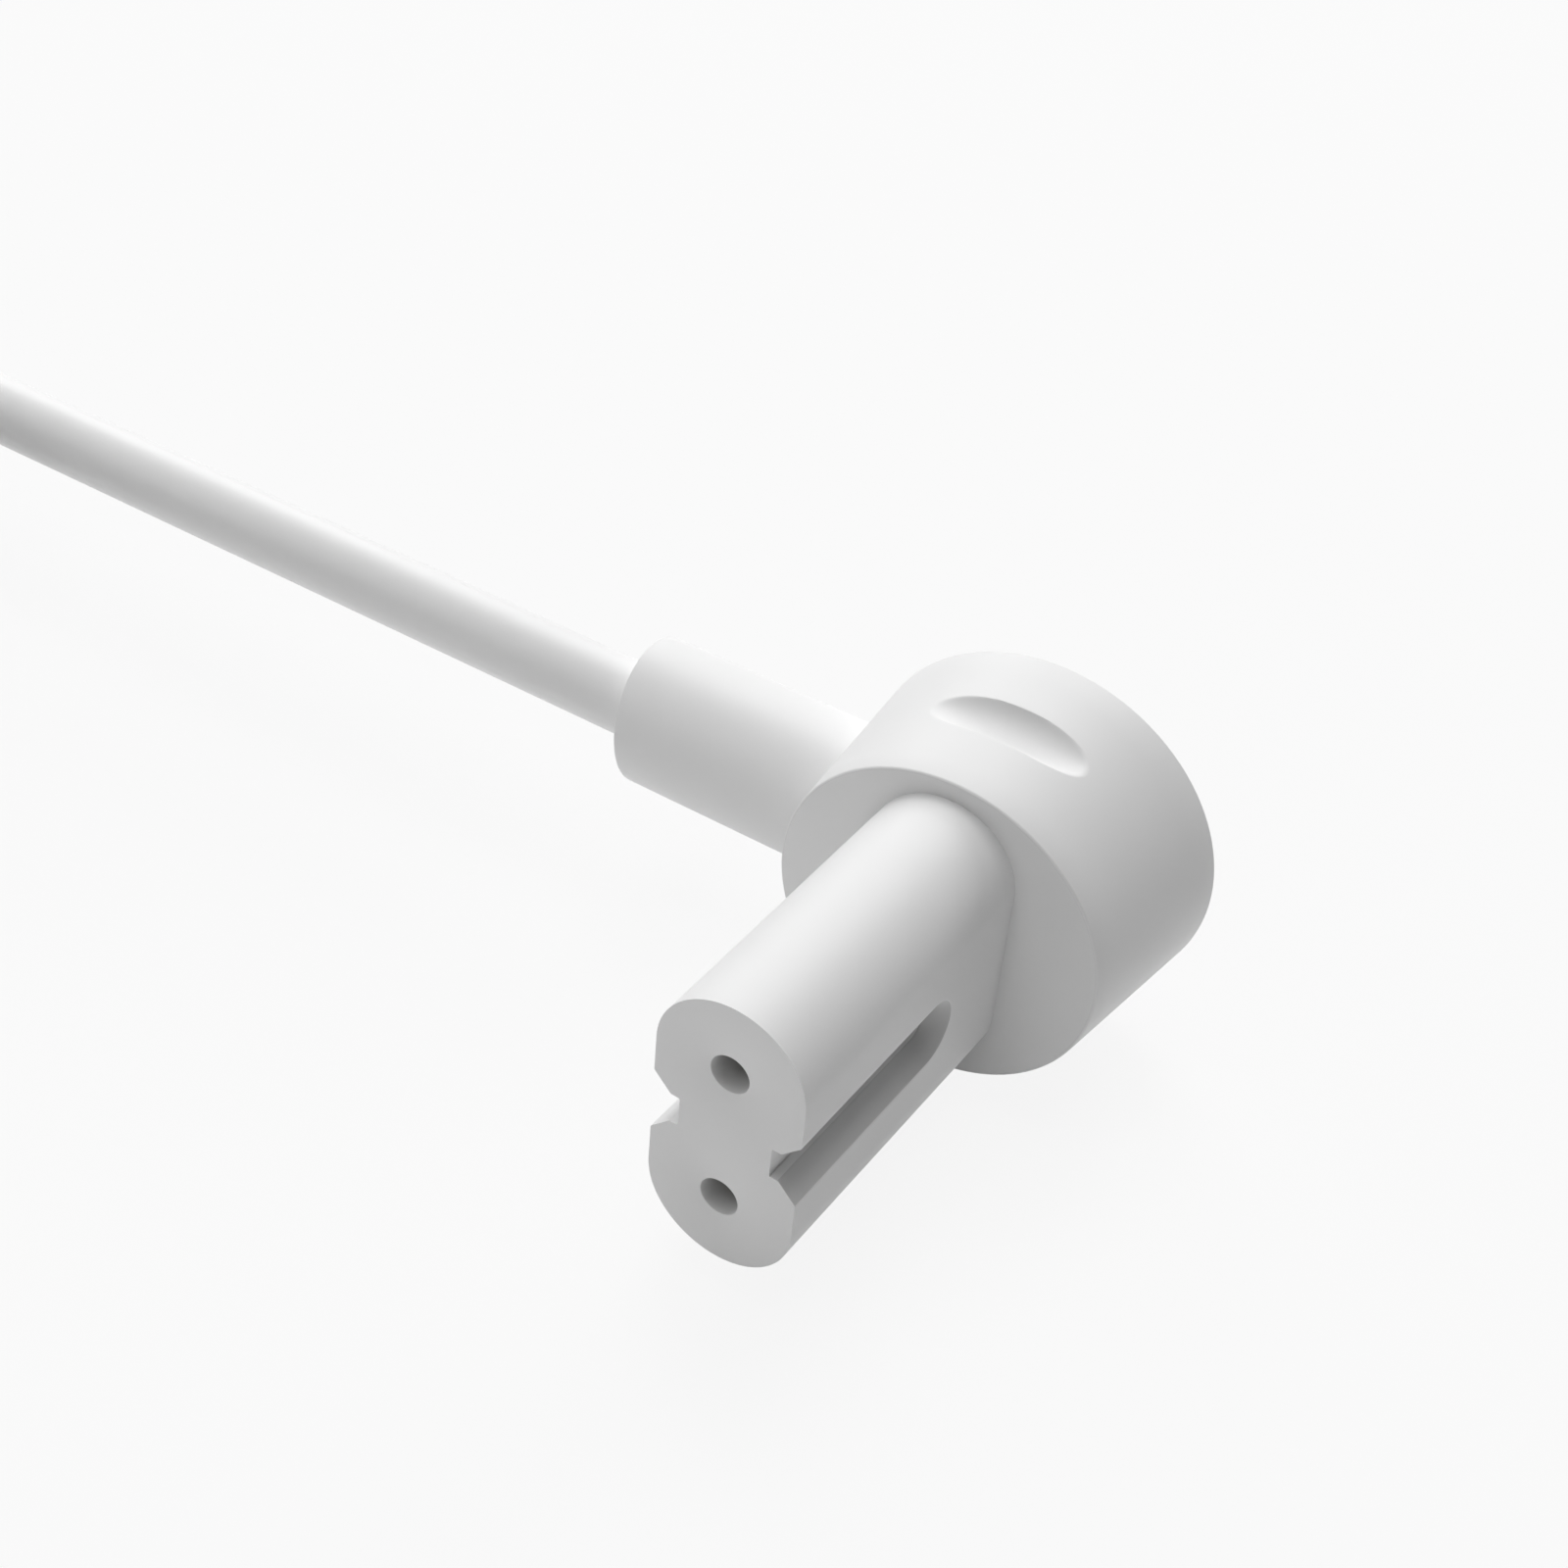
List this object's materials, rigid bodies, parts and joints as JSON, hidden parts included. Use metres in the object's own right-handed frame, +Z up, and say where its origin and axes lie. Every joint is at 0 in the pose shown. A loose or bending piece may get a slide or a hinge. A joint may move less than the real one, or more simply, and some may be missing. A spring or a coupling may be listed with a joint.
{
  "type": "power cord",
  "caption": "Mains power cord with a round-headed figure-eight appliance connector, a slim round cable in a tied coil, and a flat pin plug.",
  "frame": {"origin": "on the floor under the middle of the connector, the cord and its coil and plug left out", "axes": "+Z up, -Y the way the connector's nose points, -X the way the cord leaves the connector"},
  "size_m": [0.1473, 0.0713, 0.0331],
  "materials": {
    "white_moulding": "matte",
    "inner_plastic": "matte",
    "contact_brass": "satin",
    "core_insulation": "satin",
    "copper_wire": "satin",
    "cord_sheath": "satin",
    "tie_band": "matte",
    "pin_nickel": "polished",
    "pin_insulation": "matte"
  },
  "bodies": {
    "root": {"connector_housing": "white_moulding", "contact_carrier": "inner_plastic", "contact_upper": "contact_brass", "contact_lower": "contact_brass", "core_upper": "core_insulation", "core_lower": "core_insulation", "conductor_upper": "copper_wire", "conductor_lower": "copper_wire", "cord": "cord_sheath", "cord_coil": "cord_sheath", "cord_tie": "tie_band", "plug_body": "white_moulding", "plug_bridge": "inner_plastic", "plug_pin_left": "pin_nickel", "plug_pin_right": "pin_nickel", "pin_sleeve_left": "pin_insulation", "pin_sleeve_right": "pin_insulation"}
  },
  "joints": []
}
